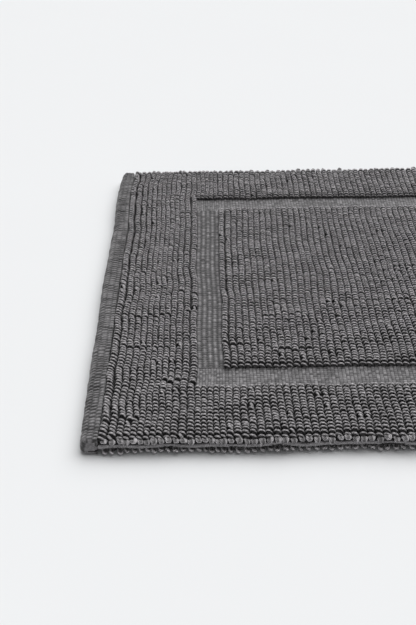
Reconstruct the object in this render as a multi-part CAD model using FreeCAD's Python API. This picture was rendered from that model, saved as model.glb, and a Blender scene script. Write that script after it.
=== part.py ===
"""Double-faced cotton bath mat, 500 by 800 mm, with a sunken flat-woven frame round its middle field.

The origin is the centre of the rectangle that the mat lies on, +X runs along the mat's length between
its hems, +Y runs from the front selvedge to the back one, and +Z points up. Rows of pile loops run
along Y. The mat is the same on both faces, so each piece of pile has a twin underneath.
Sizes are in millimetres.
"""

import FreeCAD
import Part
import os

# Driving dimensions of the whole mat
LENGTH = 800.0
DEPTH = 500.0
THICKNESS = 15.6

# Layers, from the surface that the mat lies on upwards
PILE_HEIGHT = 5.4
CHANNEL_SINK = 4.2
VALLEY_DEPTH = 1.3
RIB_RELIEF = 0.4
CREST_SHARE = 0.6

# Plan: widths from an end or an edge inwards
HEM_WIDTH = 14.2
GROOVE_WIDTH = 1.4
SIDE_ROWS = 13
SIDE_ROW_PITCH = 5.75
CHANNEL_ROWS = 5
CHANNEL_ROW_PITCH = 4.93
FIELD_ROWS = 91
BORDER_DEPTH = 72.0
CHANNEL_DEPTH = 28.0
EDGE_LOOP_DEPTH = 4.6

# Hems, selvedges and sewing thread
HEM_TOP = 14.4
HEM_CROWN_RADIUS = 6.0
HEM_SOLE_RADIUS = 3.0
HEM_CORNER_RADIUS = 5.0
HEM_END_SETBACK = 1.2
SELVEDGE_WIDTH = 2.0
SELVEDGE_HEIGHT = 3.6
EDGE_LOOP_RADIUS = 3.0
THREAD_DIAMETER = 0.9
THREAD_END_MARGIN = 4.0

# Worked out from the above
GROUND_LOW = PILE_HEIGHT
GROUND_HIGH = THICKNESS - PILE_HEIGHT
CHANNEL_HIGH = THICKNESS - CHANNEL_SINK
CHANNEL_LOW = CHANNEL_SINK
PILE_END = LENGTH / 2 - HEM_WIDTH - GROOVE_WIDTH
CHANNEL_OUTER_X = PILE_END - SIDE_ROWS * SIDE_ROW_PITCH
FIELD_X = CHANNEL_OUTER_X - CHANNEL_ROWS * CHANNEL_ROW_PITCH
FIELD_ROW_PITCH = 2 * FIELD_X / FIELD_ROWS
CHANNEL_OUTER_Y = DEPTH / 2 - BORDER_DEPTH
FIELD_Y = CHANNEL_OUTER_Y - CHANNEL_DEPTH
PILE_EDGE_Y = DEPTH / 2 - EDGE_LOOP_DEPTH
GROUND_Y = DEPTH / 2 - SELVEDGE_WIDTH


def point(x, z):
    """A point in the plane that the sections are drawn in, at Y = 0."""
    return FreeCAD.Vector(x, 0, z)


def box(x_range, y_range, z_range):
    """A box between two values along each axis."""
    size = [high - low for low, high in (x_range, y_range, z_range)]
    return Part.makeBox(*size, FreeCAD.Vector(x_range[0], y_range[0], z_range[0]))


def row_lines():
    """The X of every line between two rows of pile, from the left end to the right one."""
    sections = [
        (SIDE_ROWS, SIDE_ROW_PITCH),
        (CHANNEL_ROWS, CHANNEL_ROW_PITCH),
        (FIELD_ROWS, FIELD_ROW_PITCH),
        (CHANNEL_ROWS, CHANNEL_ROW_PITCH),
        (SIDE_ROWS, SIDE_ROW_PITCH),
    ]
    lines = [-PILE_END]
    for count, pitch in sections:
        lines += [lines[-1] + pitch * (i + 1) for i in range(count)]
    return lines


def rows_between(low, high):
    """The (left, right) lines of each row that lies between two values of X."""
    slack = 0.01
    lines = [x for x in row_lines() if low - slack < x < high + slack]
    return list(zip(lines, lines[1:]))


def ribbed_slab(rows, y_range, base, crest, valley):
    """A slab with one rounded rib along Y for each row, from its flat base to its crests."""
    edges = [
        Part.Arc(point(left, valley), point((left + right) / 2, crest), point(right, valley)).toShape()
        for left, right in rows
    ]
    left, right = rows[0][0], rows[-1][1]
    outline = [point(right, valley), point(right, base), point(left, base), point(left, valley)]
    edges += [Part.makeLine(a, b) for a, b in zip(outline, outline[1:])]
    return extruded(edges, y_range)


def flat_crested_slab(rows, y_range, base, crest, valley):
    """A slab like ribbed_slab, whose ribs have flat crests for the mat to lie on."""
    corners = []
    for left, right in rows:
        slope = (right - left) * (1 - CREST_SHARE) / 2
        corners += [point(left, valley), point(left + slope, crest), point(right - slope, crest)]
    corners += [point(rows[-1][1], valley), point(rows[-1][1], base), point(rows[0][0], base)]
    corners.append(corners[0])
    return extruded([Part.makeLine(a, b) for a, b in zip(corners, corners[1:])], y_range)


def extruded(edges, y_range):
    """A solid from a closed outline of edges, drawn at Y = 0 and pulled along Y."""
    face = Part.Face(Part.Wire(Part.__sortEdges__(edges)))
    solid = face.extrude(FreeCAD.Vector(0, y_range[1] - y_range[0], 0))
    solid.translate(FreeCAD.Vector(0, y_range[0], 0))
    return solid


def top_pile(x_range, y_range):
    """A piece of pile on the upper face."""
    return ribbed_slab(rows_between(*x_range), y_range, GROUND_HIGH, THICKNESS, THICKNESS - VALLEY_DEPTH)


def reverse_pile(x_range, y_range):
    """A piece of pile on the underside, whose flat crests are what the mat lies on."""
    return flat_crested_slab(rows_between(*x_range), y_range, GROUND_LOW, 0.0, VALLEY_DEPTH)


def pile_nodes():
    """Each piece of pile on both faces: the middle field and the four sides of the border."""
    full, side = (-PILE_END, PILE_END), (-CHANNEL_OUTER_Y, CHANNEL_OUTER_Y)
    places = {
        "field_pile": ((-FIELD_X, FIELD_X), (-FIELD_Y, FIELD_Y)),
        "front_border_pile": (full, (-PILE_EDGE_Y, -CHANNEL_OUTER_Y)),
        "back_border_pile": (full, (CHANNEL_OUTER_Y, PILE_EDGE_Y)),
        "left_border_pile": ((-PILE_END, -CHANNEL_OUTER_X), side),
        "right_border_pile": ((CHANNEL_OUTER_X, PILE_END), side),
    }
    nodes = {}
    for name, place in places.items():
        nodes["top_" + name] = top_pile(*place)
        nodes["reverse_" + name] = reverse_pile(*place)
    return nodes


def edge_loops(sign, low, high, rounded):
    """The row of larger loops along one long edge of one face, rounded over that edge."""
    outer, inner = sign * DEPTH / 2, sign * PILE_EDGE_Y
    bar = box((-PILE_END, PILE_END), sorted((outer, inner)), (low, high))
    brim = [
        edge
        for edge in bar.Edges
        if all(abs(v.Y - outer) < 1e-6 and abs(v.Z - rounded) < 1e-6 for v in edge.Vertexes)
    ]
    return bar.makeFillet(EDGE_LOOP_RADIUS, brim)


def channel_ring(base, crest, valley):
    """The flat-woven frame of one face, as four low-ribbed strips that meet end to end."""
    across = (-CHANNEL_OUTER_X, CHANNEL_OUTER_X)
    along = (-FIELD_Y, FIELD_Y)
    strips = [
        (across, (-CHANNEL_OUTER_Y, -FIELD_Y)),
        (across, (FIELD_Y, CHANNEL_OUTER_Y)),
        ((-CHANNEL_OUTER_X, -FIELD_X), along),
        ((FIELD_X, CHANNEL_OUTER_X), along),
    ]
    return Part.makeCompound(
        [ribbed_slab(rows_between(*x), y, base, crest, valley) for x, y in strips]
    )


def hem(sign):
    """One end of the cloth, turned under into a band with a rounded outer side and rounded corners."""
    outer, inner = sign * LENGTH / 2, sign * (LENGTH / 2 - HEM_WIDTH)
    half = DEPTH / 2 - HEM_END_SETBACK
    bar = box(sorted((outer, inner)), (-half, half), (0, HEM_TOP))
    for height, radius in ((HEM_TOP, HEM_CROWN_RADIUS), (0, HEM_SOLE_RADIUS)):
        bar = bar.makeFillet(radius, long_edges(bar, outer, height))
    plan = box(sorted((outer, inner)), (-half, half), (0, HEM_TOP))
    corners = [
        edge
        for edge in plan.Edges
        if all(abs(v.X - outer) < 1e-6 for v in edge.Vertexes) and edge.BoundBox.ZLength > HEM_TOP / 2
    ]
    return bar.common(plan.makeFillet(HEM_CORNER_RADIUS, corners))


def long_edges(solid, x, z):
    """The edges of a solid that run along Y at one place in X and Z."""
    return [
        edge
        for edge in solid.Edges
        if all(abs(v.X - x) < 1e-6 and abs(v.Z - z) < 1e-6 for v in edge.Vertexes)
    ]


def selvedge(sign):
    """The narrow woven edge of the ground cloth, which shows between the edge loops of both faces."""
    outer, inner = sign * DEPTH / 2, sign * GROUND_Y
    return box((-PILE_END, PILE_END), sorted((outer, inner)), (GROUND_LOW, GROUND_LOW + SELVEDGE_HEIGHT))


def hem_thread(sign, height):
    """The sewing thread that lies in the groove between a hem and the pile."""
    half = DEPTH / 2 - THREAD_END_MARGIN
    x = sign * (PILE_END + GROOVE_WIDTH / 2)
    start, along = FreeCAD.Vector(x, -half, height), FreeCAD.Vector(0, 1, 0)
    return Part.makeCylinder(THREAD_DIAMETER / 2, 2 * half, start, along)


def ground_weave():
    """The ground cloth that all the loops are anchored in, from hem to hem."""
    reach = LENGTH / 2 - HEM_WIDTH
    return box((-reach, reach), (-GROUND_Y, GROUND_Y), (GROUND_LOW, GROUND_HIGH))


def all_nodes():
    """Every piece of the mat by name."""
    nodes = {"ground_weave": ground_weave(), **pile_nodes()}
    for end, sign in (("left", -1), ("right", 1)):
        nodes[end + "_hem"] = hem(sign)
        nodes[end + "_hem_needle_thread"] = hem_thread(sign, GROUND_HIGH + THREAD_DIAMETER / 2)
        nodes[end + "_hem_bobbin_thread"] = hem_thread(sign, GROUND_LOW - THREAD_DIAMETER / 2)
    for edge, sign in (("front", -1), ("back", 1)):
        nodes[edge + "_selvedge"] = selvedge(sign)
        nodes[f"top_{edge}_edge_loops"] = edge_loops(sign, GROUND_HIGH, THICKNESS, THICKNESS)
        nodes[f"reverse_{edge}_edge_loops"] = edge_loops(sign, 0, GROUND_LOW, 0)
    nodes["top_channel_weave"] = channel_ring(GROUND_HIGH, CHANNEL_HIGH, CHANNEL_HIGH - RIB_RELIEF)
    nodes["reverse_channel_weave"] = channel_ring(GROUND_LOW, CHANNEL_LOW, CHANNEL_LOW + RIB_RELIEF)
    return nodes


os.makedirs("parts", exist_ok=True)
for name, shape in all_nodes().items():
    shape.exportStep(f"parts/{name}.step")
    print(f"{name}: {len(shape.Solids)} solid(s), {shape.Volume / 1000:.1f} cm3, valid {shape.isValid()}")
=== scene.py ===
"""A double-faced cotton bath mat in loop pile: its yarns, flat weave, hems and edges, dressed on its frame.

Lengths are in metres. X runs along the mat from its left hem to its right one, Y from the front selvedge
to the back one, and Z up. A row of loops runs along Y. The pile underneath is a twin of the upper one.
"""

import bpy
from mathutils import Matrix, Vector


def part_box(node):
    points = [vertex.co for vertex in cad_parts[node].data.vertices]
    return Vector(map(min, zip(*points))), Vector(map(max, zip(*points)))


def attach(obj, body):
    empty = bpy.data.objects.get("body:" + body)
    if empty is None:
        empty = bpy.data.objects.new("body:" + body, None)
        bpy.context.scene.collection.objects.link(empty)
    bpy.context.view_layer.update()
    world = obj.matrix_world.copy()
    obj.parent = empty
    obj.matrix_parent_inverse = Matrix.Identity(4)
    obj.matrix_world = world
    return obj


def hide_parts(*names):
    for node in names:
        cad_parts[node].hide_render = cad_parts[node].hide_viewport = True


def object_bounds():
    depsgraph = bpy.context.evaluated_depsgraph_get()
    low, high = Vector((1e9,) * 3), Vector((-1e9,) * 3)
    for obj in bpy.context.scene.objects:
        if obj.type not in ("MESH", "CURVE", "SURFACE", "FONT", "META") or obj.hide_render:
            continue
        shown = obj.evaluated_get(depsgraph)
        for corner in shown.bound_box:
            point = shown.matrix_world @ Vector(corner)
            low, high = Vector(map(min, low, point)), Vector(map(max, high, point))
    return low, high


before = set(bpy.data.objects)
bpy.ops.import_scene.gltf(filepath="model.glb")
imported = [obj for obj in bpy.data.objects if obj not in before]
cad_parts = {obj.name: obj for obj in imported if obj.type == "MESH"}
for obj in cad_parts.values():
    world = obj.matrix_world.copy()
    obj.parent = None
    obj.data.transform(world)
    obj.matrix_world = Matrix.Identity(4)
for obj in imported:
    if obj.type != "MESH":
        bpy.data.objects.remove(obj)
CAD_BOX = [list(corner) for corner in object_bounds()]

import logging
import math
from dataclasses import dataclass, field
from enum import Enum
from typing import Callable, Sequence, Union

import bpy
import numpy as np
from mathutils import Matrix, Vector

log = logging.getLogger("bath_mat")

MM = 0.001
SIDE_ROWS = 13
CHANNEL_ROWS = 5
FIELD_ROWS = 91
LOOP_SPACING = 4.16 * MM
HAIR = 0.1 * MM


# ---------------------------------------------------------------- node trees as expressions


Operand = Union["Wire", float, int]


def as_node(operation: str, swapped: bool = False) -> Callable[["Wire", Operand], "Wire"]:
    """One of Python's operators on wires, as a Math node.

    Args:
        operation: the node's operation.
        swapped: whether the wire is on the operator's right.

    Returns:
        The operator's method.
    """
    def work(wire: "Wire", other: Operand) -> "Wire":
        """Adds the node."""
        return wire.bench.maths(operation, *((other, wire) if swapped else (wire, other)))
    return work


@dataclass(frozen=True)
class Wire:
    """One output of a node, which takes part in Python expressions."""

    bench: "Bench"
    socket: bpy.types.NodeSocket

    __add__, __radd__ = as_node("ADD"), as_node("ADD", True)
    __sub__, __rsub__ = as_node("SUBTRACT"), as_node("SUBTRACT", True)
    __mul__, __rmul__ = as_node("MULTIPLY"), as_node("MULTIPLY", True)
    __truediv__, __rtruediv__ = as_node("DIVIDE"), as_node("DIVIDE", True)
    __pow__ = as_node("POWER")


class Bench:
    """A node tree that is being built."""

    def __init__(self, tree: bpy.types.NodeTree) -> None:
        """Starts on an empty tree.

        Args:
            tree: the tree that the nodes go into.
        """
        self.tree = tree

    def add(self, kind: str, settings: dict | None = None, **values: object) -> bpy.types.Node:
        """Adds any node: its settings first, then its inputs.

        Args:
            kind: the node's type.
            settings: properties of the node, such as its operation.
            values: what goes into its inputs, by name with underscores for spaces, or by i and a number.

        Returns:
            The new node.
        """
        node = self.tree.nodes.new(kind)
        for name, value in (settings or {}).items():
            setattr(node, name, value)
        for name, value in values.items():
            key = int(name[1:]) if name[0] == "i" and name[1:].isdigit() else name.replace("_", " ")
            self.put(node.inputs[key], value)
        return node

    def put(self, target: bpy.types.NodeSocket, value: object) -> None:
        """Links a wire to an input, or sets its value.

        Args:
            target: the input.
            value: a wire or a plain value.
        """
        if isinstance(value, Wire):
            self.tree.links.new(value.socket, target)
        else:
            target.default_value = value

    def out(self, node: bpy.types.Node, name: Union[str, int] = 0) -> Wire:
        """One output of a node as a wire."""
        return Wire(self, node.outputs[name])

    def maths(self, operation: str, *values: Operand) -> Wire:
        """A Math node on wires and numbers."""
        inputs = {f"i{i}": v for i, v in enumerate(values)}
        return self.out(self.add("ShaderNodeMath", {"operation": operation}, **inputs))

    def clamp(self, value: Operand) -> Wire:
        """The value held between 0 and 1."""
        node = self.add("ShaderNodeMath", {"operation": "ADD", "use_clamp": True}, i0=value, i1=0.0)
        return self.out(node)

    def stretch(self, value: Operand, low: float, high: float) -> Wire:
        """The value's place between low and high, as 0 to 1 with soft ends.

        Args:
            value: what is measured.
            low: the value that gives 0.
            high: the value that gives 1.

        Returns:
            A wire from 0 to 1.
        """
        node = self.add("ShaderNodeMapRange", {"interpolation_type": "SMOOTHSTEP"},
                        Value=value, From_Min=low, From_Max=high)
        return self.out(node)

    def combine(self, x: Operand, y: Operand, z: Operand) -> Wire:
        """A vector from three numbers."""
        return self.out(self.add("ShaderNodeCombineXYZ", i0=x, i1=y, i2=z))

    def split(self, vector: Wire) -> tuple[Wire, Wire, Wire]:
        """The three numbers in a vector."""
        node = self.add("ShaderNodeSeparateXYZ", i0=vector)
        return self.out(node, 0), self.out(node, 1), self.out(node, 2)


class Cloth(Bench):
    """The shader of one finish, on a Principled node."""

    def __init__(self, name: str) -> None:
        """Makes the material.

        Args:
            name: the material's name.
        """
        self.material = bpy.data.materials.new(name)
        self.material.use_nodes = True
        super().__init__(self.material.node_tree)
        self.shader = self.tree.nodes["Principled BSDF"]
        self.place = self.out(self.add("ShaderNodeTexCoord"), "Object")

    def attribute(self, name: str, output: str = "Fac") -> Wire:
        """An attribute of the mesh."""
        return self.out(self.add("ShaderNodeAttribute", {"attribute_name": name}), output)

    def noise(self, scale: float, detail: float) -> Wire:
        """Soft noise over the piece, in lumps to the metre, with finer layers of detail."""
        return self.out(self.add("ShaderNodeTexNoise", Vector=self.place, Scale=scale, Detail=detail))

    def blend(self, share: Operand, first: object, second: object) -> Wire:
        """A colour between two others.

        Args:
            share: how much of the second colour, from 0 to 1.
            first: a colour or a wire.
            second: a colour or a wire.

        Returns:
            The mixed colour.
        """
        node = self.add("ShaderNodeMix", {"data_type": "RGBA"}, i0=share, i6=first, i7=second)
        return self.out(node, 2)

    def shade(self, colour: Wire, factor: Wire) -> Wire:
        """A colour times a number."""
        grey = self.combine(factor, factor, factor)
        settings = {"data_type": "RGBA", "blend_type": "MULTIPLY"}
        return self.out(self.add("ShaderNodeMix", settings, i0=1.0, i6=colour, i7=grey), 2)

    def dress(self, colour: Wire, **values: float) -> bpy.types.Material:
        """Sets the shader's colour and its other inputs.

        Args:
            colour: the base colour.
            values: the other inputs, by name with underscores for spaces.

        Returns:
            The finished material.
        """
        for name, value in {"Base_Color": colour, **values}.items():
            self.put(self.shader.inputs[name.replace("_", " ")], value)
        return self.material

    def relief(self, height: Wire, depth: float) -> None:
        """Puts a bump into the shader's normal.

        Args:
            height: the surface's height, from 0 to 1.
            depth: what 1 is in metres.
        """
        bump = self.add("ShaderNodeBump", Strength=1.0, Distance=depth, Height=height)
        self.put(self.shader.inputs["Normal"], self.out(bump))


class Geometry(Bench):
    """A geometry node tree with named inputs, for what repeats."""

    def __init__(self, name: str) -> None:
        """Makes the tree with its geometry input and output.

        Args:
            name: the tree's name.
        """
        super().__init__(bpy.data.node_groups.new(name, "GeometryNodeTree"))
        self.tree.interface.new_socket("Geometry", in_out="INPUT", socket_type="NodeSocketGeometry")
        self.tree.interface.new_socket("Geometry", in_out="OUTPUT", socket_type="NodeSocketGeometry")
        self.entry = self.tree.nodes.new("NodeGroupInput")
        self.exit = self.tree.nodes.new("NodeGroupOutput")

    def ask(self, name: str, kind: str = "NodeSocketFloat") -> Wire:
        """A named input of the tree."""
        self.tree.interface.new_socket(name, in_out="INPUT", socket_type=kind)
        return Wire(self, self.entry.outputs[name])

    def read(self, name: str, kind: str = "FLOAT") -> Wire:
        """A named attribute as a field."""
        node = self.add("GeometryNodeInputNamedAttribute", {"data_type": kind}, Name=name)
        return self.out(node, "Attribute")

    def keep(self, geometry: Wire, name: str, value: object, kind: str = "FLOAT") -> Wire:
        """Stores a field as a named attribute of the points.

        Args:
            geometry: what carries the attribute.
            name: the attribute's name.
            value: the field.
            kind: its data type.

        Returns:
            The geometry with the attribute.
        """
        node = self.add("GeometryNodeStoreNamedAttribute", {"data_type": kind, "domain": "POINT"},
                        Geometry=geometry, Name=name, Value=value)
        return self.out(node)

    def chance(self, seed: Wire, turn: int, low: Operand, high: Operand) -> Wire:
        """A random number for each point.

        Args:
            seed: the tree's seed.
            turn: which draw this is, so that draws differ.
            low: the lowest value.
            high: the highest value.

        Returns:
            The number as a field.
        """
        kind = {"data_type": "FLOAT"}
        return self.out(self.add("FunctionNodeRandomValue", kind, i2=low, i3=high, Seed=seed + turn), 1)

    def drift(self, place: Wire, scale: float, shift: float) -> Wire:
        """Slow noise over the mat, from about -1 to 1.

        Args:
            place: where it is read.
            scale: lumps in a metre.
            shift: moves the pattern, so that two drifts differ.

        Returns:
            The noise as a field.
        """
        x, y, z = self.split(place)
        node = self.add("ShaderNodeTexNoise", Vector=self.combine(x + shift, y, z), Scale=scale, Detail=1.0)
        return (self.out(node, 0) - 0.5) * 3.6


def link_mesh(name: str, mesh: bpy.types.Mesh) -> bpy.types.Object:
    """Puts a mesh into the scene as a new object."""
    piece = bpy.data.objects.new(name, mesh)
    bpy.context.scene.collection.objects.link(piece)
    return piece


def run_tree(tree: bpy.types.NodeTree, source: bpy.types.Object, settings: dict[str, object],
             name: str) -> bpy.types.Object:
    """Runs a geometry tree on an object and keeps the result as a plain mesh.

    Args:
        tree: the geometry node tree.
        source: the object that it starts from, which is removed.
        settings: values for the tree's named inputs.
        name: the new piece's name.

    Returns:
        The piece, with no modifier.
    """
    modifier = source.modifiers.new(name, "NODES")
    modifier.node_group = tree
    for item in tree.interface.items_tree:
        if item.in_out == "INPUT" and item.name in settings:
            modifier[item.identifier] = settings[item.name]
    source.update_tag()
    evaluated = source.evaluated_get(bpy.context.evaluated_depsgraph_get())
    mesh = bpy.data.meshes.new_from_object(evaluated)
    source.modifiers.remove(modifier)
    bpy.data.objects.remove(source)
    mesh.name = name
    return link_mesh(name, mesh)


def make_piece(name: str, points: np.ndarray, faces: Sequence[Sequence[int]],
               material: bpy.types.Material | None = None) -> bpy.types.Object:
    """A mesh object from points and faces.

    Args:
        name: the piece's name.
        points: one row of X, Y, Z for each vertex.
        faces: the vertices of each face.
        material: its material, if it has one.

    Returns:
        The new object, smooth shaded.
    """
    mesh = bpy.data.meshes.new(name)
    mesh.from_pydata([tuple(p) for p in points], [], [tuple(f) for f in faces])
    mesh.polygons.foreach_set("use_smooth", [True] * len(mesh.polygons))
    if material:
        mesh.materials.append(material)
    mesh.update()
    return link_mesh(name, mesh)


# ---------------------------------------------------------------- the plan of the mat


class Face(Enum):
    """The mat's two faces, by the way that their pile stands."""

    TOP = 1
    REVERSE = -1


@dataclass(frozen=True)
class Zone:
    """A rectangle of the mat's plan."""

    left: float
    right: float
    front: float
    back: float


@dataclass(frozen=True)
class Plan:
    """Where everything lies, read off the frame's nodes."""

    half_length: float
    half_depth: float
    pile_x: float
    channel_x: float
    field_x: float
    channel_y: float
    field_y: float
    edge_y: float
    ground_low: float
    ground_high: float
    channel_low: float
    channel_high: float

    @classmethod
    def from_frame(cls) -> "Plan":
        """Reads the plan off the frame."""
        high = Vector(CAD_BOX[1])
        border, field_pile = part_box("top_front_border_pile"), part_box("top_field_pile")
        ring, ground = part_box("top_channel_weave"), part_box("ground_weave")
        return cls(
            half_length=high.x, half_depth=high.y, pile_x=border[1].x, channel_x=ring[1].x,
            field_x=field_pile[1].x, channel_y=ring[1].y, field_y=field_pile[1].y,
            edge_y=-border[0].y, ground_low=ground[0].z, ground_high=ground[1].z,
            channel_low=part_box("reverse_channel_weave")[0].z, channel_high=ring[1].z,
        )

    def row_lines(self) -> np.ndarray:
        """The X of each line between two rows, from the left to the right."""
        stops = [-self.pile_x, -self.channel_x, -self.field_x, self.field_x, self.channel_x, self.pile_x]
        counts = [SIDE_ROWS, CHANNEL_ROWS, FIELD_ROWS, CHANNEL_ROWS, SIDE_ROWS]
        runs = [np.linspace(a, b, n, endpoint=False) for a, b, n in zip(stops, stops[1:], counts)]
        return np.concatenate([*runs, [self.pile_x]])

    def rows_in(self, zone: Zone) -> np.ndarray:
        """The left and right line of each row inside a zone."""
        lines = self.row_lines()
        kept = lines[(lines > zone.left - HAIR) & (lines < zone.right + HAIR)]
        return np.stack([kept[:-1], kept[1:]], axis=1)


def soft_noise(x: np.ndarray, y: np.ndarray, size: float, seed: int) -> np.ndarray:
    """Smooth noise in the plane, from -1 to 1, as a few waves at odd angles.

    Args:
        x: X of each point.
        y: Y of each point.
        size: the usual width of a lump.
        seed: which noise.

    Returns:
        The noise at each point.
    """
    draw = np.random.default_rng(seed)
    total = np.zeros_like(x)
    waves = 7
    for _ in range(waves):
        angle, phase = draw.uniform(0, 2 * math.pi, 2)
        pace = 2 * math.pi / (size * draw.uniform(1.4, 3.0))
        total += np.sin((x * math.cos(angle) + y * math.sin(angle)) * pace + phase)
    return total / math.sqrt(waves)


@dataclass(frozen=True)
class Lie:
    """How the soft mat lies: the slow bends that all its layers share."""

    plan: Plan
    sway: float = 0.9 * MM
    sway_size: float = 60 * MM
    edge_wave: float = 0.8 * MM
    edge_wave_size: float = 45 * MM
    inner_wave: float = 0.35
    lift: float = 1.1 * MM
    lift_size: float = 40 * MM
    lift_reach: float = 22 * MM

    def apply(self, points: np.ndarray) -> np.ndarray:
        """Moves points as the cloth's slow bends do.

        Args:
            points: X, Y, Z of each point on the flat mat.

        Returns:
            The moved points.
        """
        x, y, z = points.T
        moved = points.copy()
        reach = np.clip(self.plan.half_depth - np.abs(y), 0, None)
        near_edge = np.exp(-reach / self.lift_reach)
        wave = self.edge_wave * (self.inner_wave + (1 - self.inner_wave) * near_edge)
        moved[:, 0] += self.sway * soft_noise(x, y, self.sway_size, 11)
        moved[:, 1] += wave * soft_noise(x, np.sign(y) * 0.2, self.edge_wave_size, 12)
        raised = np.clip(soft_noise(x, np.sign(y) * 0.3, self.lift_size, 13) - 0.2, 0, 1.5)
        moved[:, 2] += self.lift * near_edge * raised
        return moved

    def settle(self, piece: bpy.types.Object) -> None:
        """Applies the slow bends to a piece's mesh, and keeps it out of the floor.

        Args:
            piece: the piece to move.
        """
        mesh = piece.data
        flat = np.empty(len(mesh.vertices) * 3)
        mesh.vertices.foreach_get("co", flat)
        points = self.apply(flat.reshape(-1, 3))
        points[:, 2] = np.maximum(points[:, 2], 0)
        mesh.vertices.foreach_set("co", points.ravel())
        mesh.update()


# ---------------------------------------------------------------- finishes


Colour = tuple[float, float, float, float]
COTTON_SHEEN_SPREAD = 0.6
COTTON_GLOSS = 0.12


@dataclass(frozen=True)
class YarnFinish:
    """Thick soft cotton yarn: each ply is a twist of fine threads with fuzz. Shade is painted into its
    colour at the loop's feet, on the underside of each ply, on the flanks that face the next loops and in
    the grooves between threads.
    """

    name: str
    colour: Colour = (0.465, 0.448, 0.461, 1)
    # shadow: the colour painted as shade in the grooves between the threads.
    shadow: Colour = (0.20, 0.193, 0.20, 1)
    # How much shade is painted into the colour: at the loop's feet, on the underside of each ply and on the
    # flanks that face the next loops.
    painted_foot_shade: float = 0.86
    painted_underside_shade: float = 0.76
    painted_flank_shade: float = 0.74
    threads: int = 4
    turns: float = 1.1
    thread_depth: float = 0.32 * MM
    roughness: float = 0.92
    sheen: float = 0.30

    def material(self) -> bpy.types.Material:
        """Builds the material.

        Returns:
            A material that reads the yarn's own attributes: along, rim, beside and tone.
        """
        cloth = Cloth(self.name)
        along, tone = cloth.attribute("along"), cloth.attribute("tone")
        rim_x, rim_y, _ = cloth.split(cloth.attribute("rim", "Vector"))
        angle = cloth.maths("ARCTAN2", rim_y, rim_x) + along * (self.turns * 2 * math.pi) + tone * 9.0
        groove = cloth.stretch(cloth.maths("COSINE", angle * self.threads), -1.0, -0.1)
        round_x, round_y = cloth.maths("COSINE", angle), cloth.maths("SINE", angle)
        strand = cloth.combine(round_x, round_y, along * 3.2 + tone * 37.0)
        fibre = cloth.out(cloth.add("ShaderNodeTexNoise", Vector=strand, Scale=2.6, Detail=3.0))
        fuzz = cloth.noise(1500, 3.0)
        # The grooves between the threads are painted in the shadow colour as painted shade, and are bumped
        # as well.
        colour = cloth.blend(groove, self.shadow, self.colour)
        # Painted shade: the level is darker at the loop's feet, on the underside of each ply and on the
        # flanks that face the next loops. The tone, fibre streaks and fuzz are the yarn's own.
        painted_foot_level = 1 - self.painted_foot_shade * cloth.stretch(cloth.maths("ABSOLUTE", along - 0.5), 0.16, 0.38)
        upper = 1 - self.painted_underside_shade * cloth.stretch(rim_x, 0.60, -0.45)
        middle = 1 - self.painted_flank_shade * cloth.stretch(cloth.attribute("beside"), 0.50, 0.94)
        level = (0.80 + 0.34 * tone) * (0.45 + 1.10 * fibre) * (0.50 + 1.00 * fuzz) * painted_foot_level * upper * middle
        cloth.relief(groove * 0.6 + fibre * 0.7 + fuzz * 0.5, self.thread_depth)
        return cloth.dress(cloth.shade(colour, level), Roughness=self.roughness, Sheen_Weight=self.sheen,
                           Sheen_Roughness=COTTON_SHEEN_SPREAD, Specular_IOR_Level=COTTON_GLOSS)


@dataclass(frozen=True)
class WeaveFinish:
    """Flat cotton weave: fine crossing threads with fuzz, with painted shade in the grooves of the cloth
    and between its threads.
    """

    name: str
    colour: Colour = (0.262, 0.252, 0.262, 1)
    shadow: Colour = (0.165, 0.158, 0.165, 1)
    # groove: how much the cloth is darkened, as painted shade, where its map marks a groove or hollow.
    groove: float = 0.88
    thread: tuple[float, float] = (1.05 * MM, 0.95 * MM)
    depth: float = 0.16 * MM
    roughness: float = 0.93
    sheen: float = 0.35
    patchy: float = 0.90

    def material(self) -> bpy.types.Material:
        """Builds the material.

        Returns:
            A plain weave on the place in the cloth that each vertex carries, with how much it is darkened
            third, mostly as painted shade.
        """
        cloth = Cloth(self.name)
        u, v, deep = cloth.split(cloth.attribute("cloth", "Vector"))
        wobble = (cloth.noise(230, 2.0) - 0.5) * 7.0
        across = u * (math.pi / self.thread[0]) + wobble
        down = v * (math.pi / self.thread[1]) + wobble
        warp = cloth.maths("ABSOLUTE", cloth.maths("SINE", across))
        weft = cloth.maths("ABSOLUTE", cloth.maths("SINE", down))
        over = cloth.stretch(cloth.maths("SINE", across) * cloth.maths("SINE", down), -0.25, 0.25)
        height = over * warp + (1 - over) * weft
        fuzz, patch = cloth.noise(1400, 3.0), cloth.noise(75, 2.0)
        lumps = cloth.noise(420, 2.0)
        # The lower thread at each crossing takes the shadow colour: painted shade between the threads.
        colour = cloth.blend(cloth.stretch(height, 0.05, 0.75), self.shadow, self.colour)
        level = (0.45 + 1.10 * fuzz) * (0.80 + 0.40 * patch) * (1 - 0.5 * self.patchy + self.patchy * lumps)
        # Painted shade where the cloth map marks a groove or hollow, together with any random tone that the
        # map carries.
        level = level * (1 - self.groove * cloth.clamp(deep))
        cloth.relief(height * 0.7 + fuzz * 0.6, self.depth)
        return cloth.dress(cloth.shade(colour, level), Roughness=self.roughness, Sheen_Weight=self.sheen,
                           Sheen_Roughness=COTTON_SHEEN_SPREAD, Specular_IOR_Level=COTTON_GLOSS)


def floor_finish() -> bpy.types.Material:
    """The pale floor's material."""
    cloth = Cloth("pale_floor")
    tint = cloth.blend(cloth.noise(6, 1.0), (0.805, 0.815, 0.825, 1), (0.815, 0.825, 0.835, 1))
    return cloth.dress(tint, Roughness=0.95, Specular_IOR_Level=0.1)


# ---------------------------------------------------------------- loops of yarn


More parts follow.
